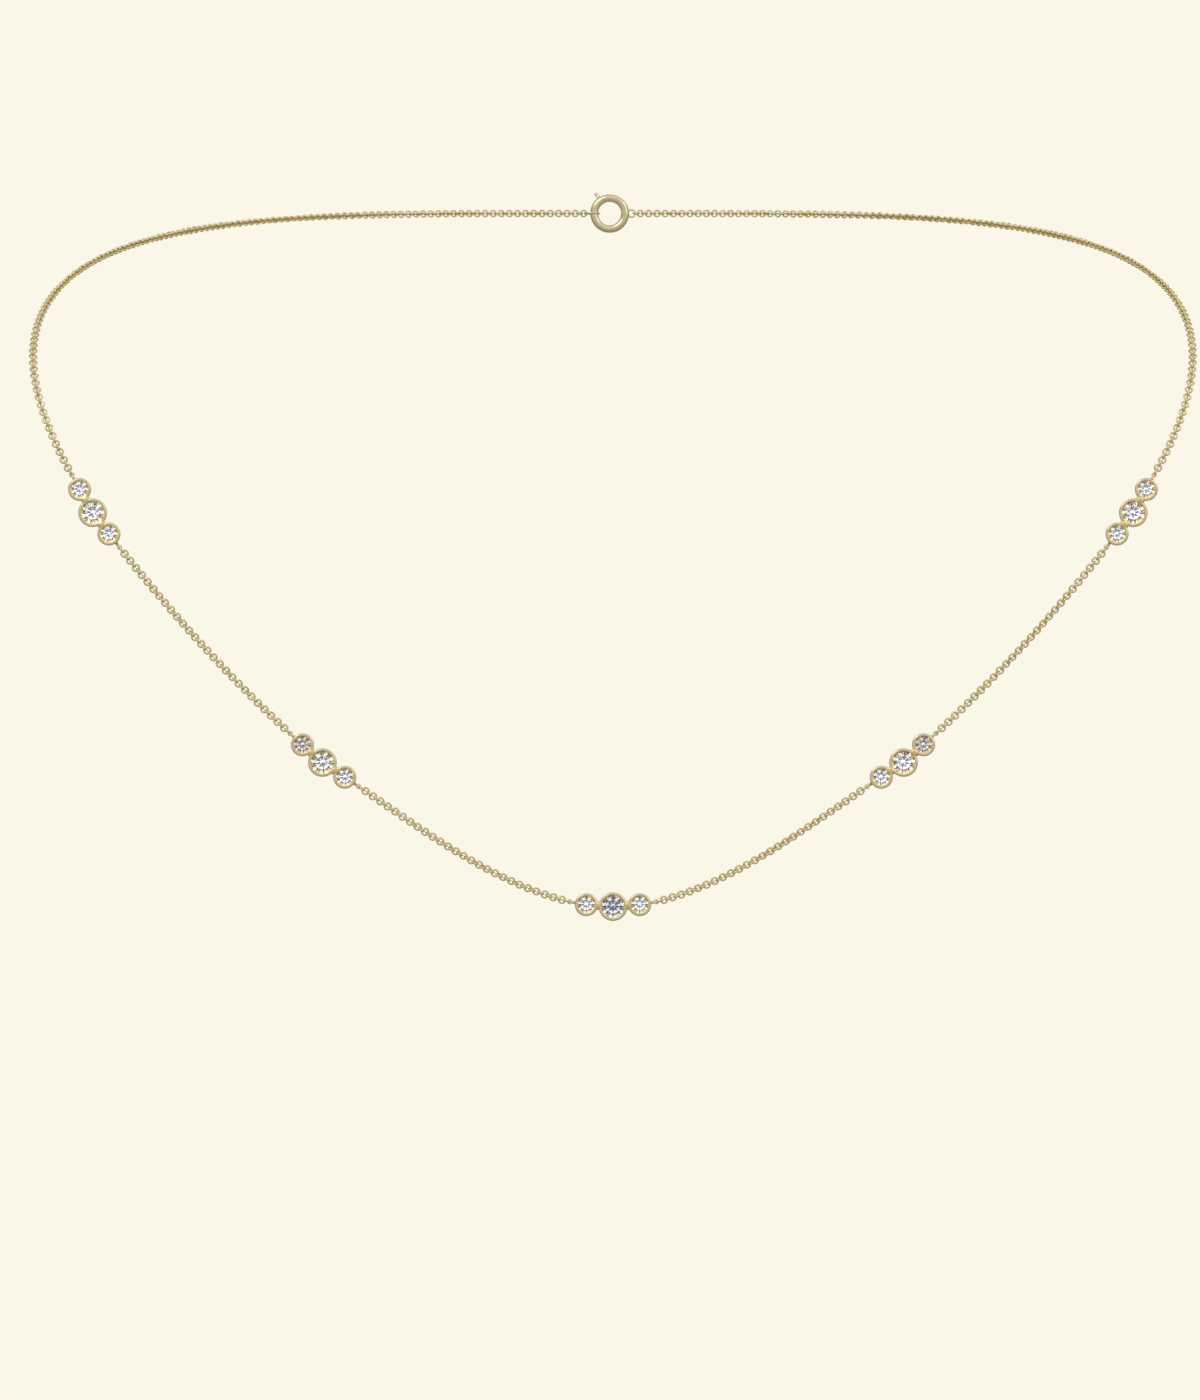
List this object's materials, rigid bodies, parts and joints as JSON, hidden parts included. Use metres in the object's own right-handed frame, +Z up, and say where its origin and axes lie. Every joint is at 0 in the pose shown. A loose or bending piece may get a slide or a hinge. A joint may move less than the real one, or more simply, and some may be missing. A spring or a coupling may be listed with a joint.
{
  "type": "station necklace",
  "caption": "Fine gold cable chain with soldered stations of round bezel-set stones, a large one between small ones, closed by a spring ring clasp at the nape.",
  "frame": {"origin": "the middle of the neck that the necklace goes round, level with the clasp at the nape", "axes": "+Z up, -Y out of the front, where the stones face, +X to the right in the front view"},
  "size_m": [0.147, 0.0879, 0.0967],
  "materials": {
    "gold": "polished pale yellow gold",
    "stone": "faceted and polished, colourless"
  },
  "bodies": {
    "root": {"setting_1": "gold", "setting_2": "gold", "setting_3": "gold", "setting_4": "gold", "setting_5": "gold", "stone_1_left": "stone", "stone_1_middle": "stone", "stone_1_right": "stone", "stone_2_left": "stone", "stone_2_middle": "stone", "stone_2_right": "stone", "stone_3_left": "stone", "stone_3_middle": "stone", "stone_3_right": "stone", "stone_4_left": "stone", "stone_4_middle": "stone", "stone_4_right": "stone", "stone_5_left": "stone", "stone_5_middle": "stone", "stone_5_right": "stone", "jump_ring_1_left": "gold", "jump_ring_1_right": "gold", "jump_ring_2_left": "gold", "jump_ring_2_right": "gold", "jump_ring_3_left": "gold", "jump_ring_3_right": "gold", "jump_ring_4_left": "gold", "jump_ring_4_right": "gold", "jump_ring_5_left": "gold", "jump_ring_5_right": "gold", "jump_ring_clasp": "gold", "chain_1": "gold", "chain_2": "gold", "chain_3": "gold", "chain_4": "gold", "chain_5": "gold", "chain_6": "gold", "clasp": "gold", "end_ring": "gold"}
  },
  "joints": []
}
